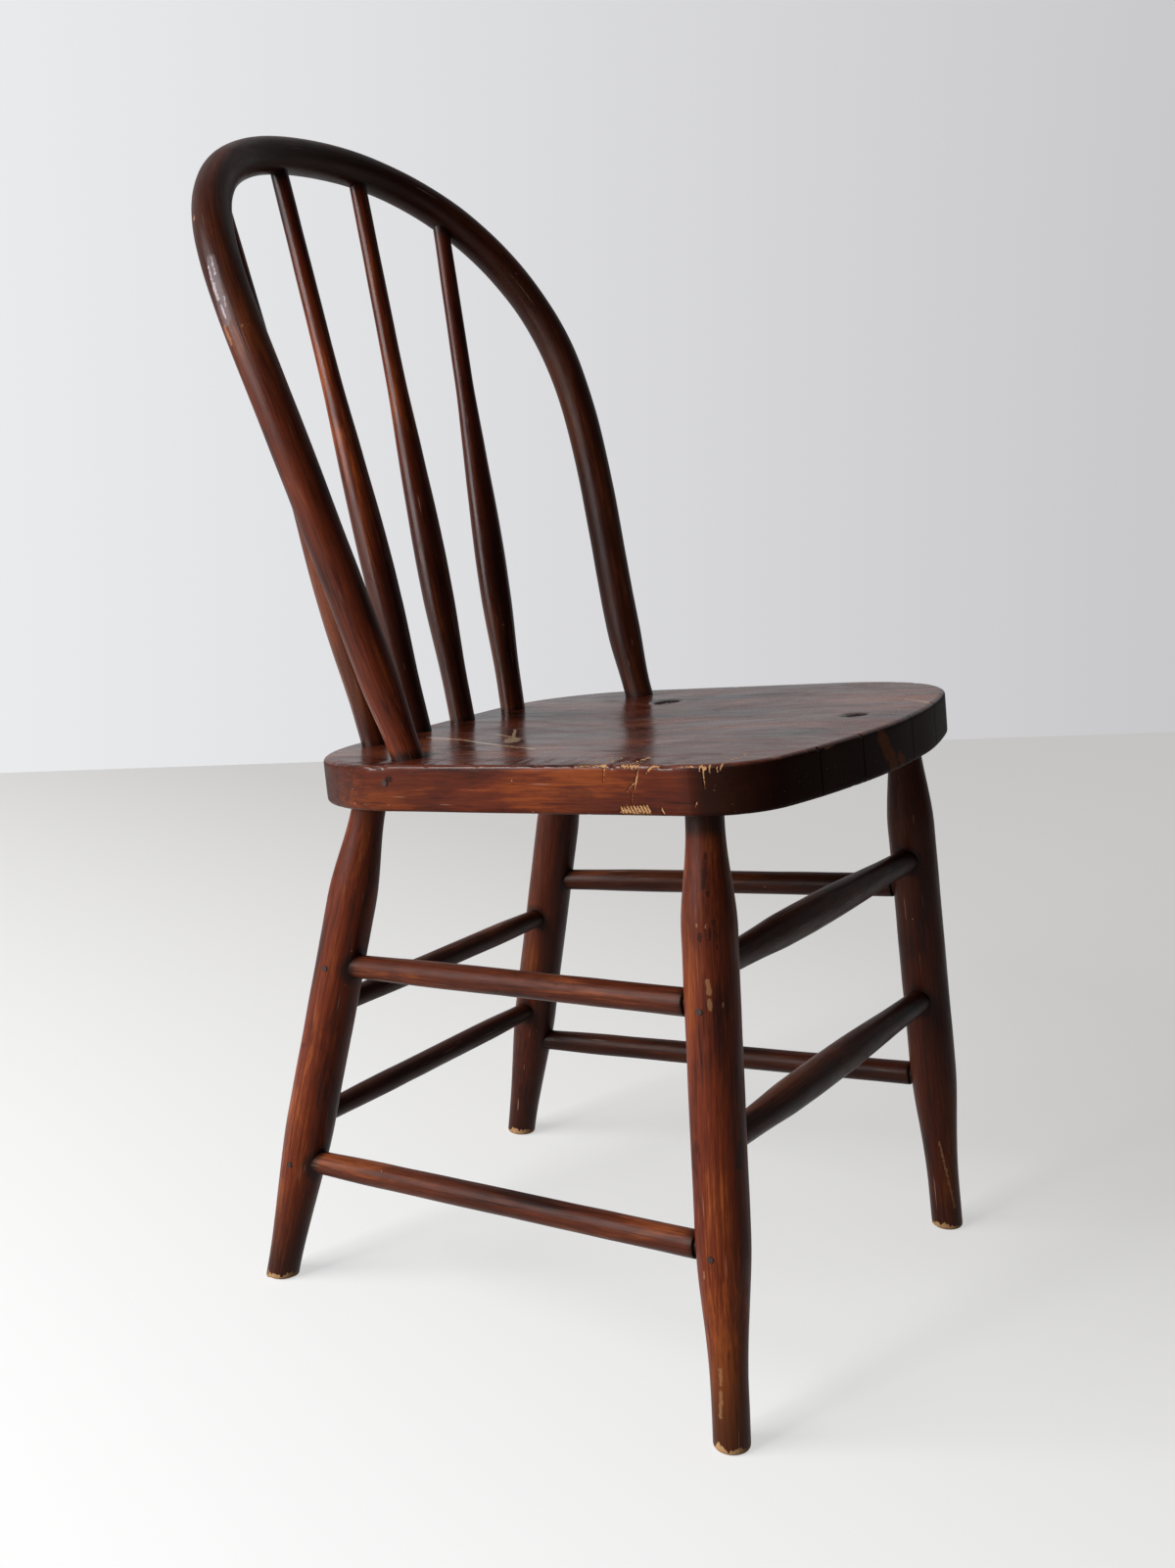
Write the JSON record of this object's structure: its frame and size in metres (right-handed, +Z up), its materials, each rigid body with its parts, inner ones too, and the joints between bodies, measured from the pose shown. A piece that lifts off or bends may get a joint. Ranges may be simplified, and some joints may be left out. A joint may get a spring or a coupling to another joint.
{
  "type": "spindle-back farmhouse chair",
  "caption": "Wooden side chair: bent hoop back with turned spindles in a plank seat, on splayed turned legs tied by stretchers.",
  "frame": {"origin": "on the floor, under the middle of the chair's bounding box", "axes": "+Z up; the chair faces -Y; the right hand of a person sitting in it is on the -X side"},
  "size_m": [0.41, 0.536, 0.8545],
  "materials": {
    "seat_wood": "dark red-brown stain under worn semi-gloss varnish, pale chips along the edges",
    "hoop_wood": "dark red-brown stain under semi-gloss varnish",
    "spindle_wood": "red-brown stain under semi-gloss varnish",
    "leg_wood": "streaky orange-brown stain under worn varnish, pale worn feet",
    "stretcher_wood": "red-brown stain under worn varnish",
    "brad_iron": "dark rusted iron"
  },
  "bodies": {
    "root": {"seat": "seat_wood", "hoop": "hoop_wood", "spindle_outer_right": "spindle_wood", "spindle_inner_right": "spindle_wood", "spindle_inner_left": "spindle_wood", "spindle_outer_left": "spindle_wood", "leg_front_right": "leg_wood", "leg_front_left": "leg_wood", "leg_back_right": "leg_wood", "leg_back_left": "leg_wood", "side_stretcher_upper_right": "stretcher_wood", "side_stretcher_lower_right": "stretcher_wood", "side_stretcher_upper_left": "stretcher_wood", "side_stretcher_lower_left": "stretcher_wood", "front_stretcher_upper": "stretcher_wood", "front_stretcher_lower": "stretcher_wood", "back_stretcher_upper": "stretcher_wood", "back_stretcher_lower": "stretcher_wood", "brad_leg_front_right_upper": "brad_iron", "brad_leg_front_right_lower": "brad_iron", "brad_leg_front_left_upper": "brad_iron", "brad_leg_front_left_lower": "brad_iron", "brad_leg_back_right_upper": "brad_iron", "brad_leg_back_right_lower": "brad_iron", "brad_leg_back_left_upper": "brad_iron", "brad_leg_back_left_lower": "brad_iron", "brad_hoop_right": "brad_iron", "brad_hoop_left": "brad_iron"}
  },
  "joints": []
}
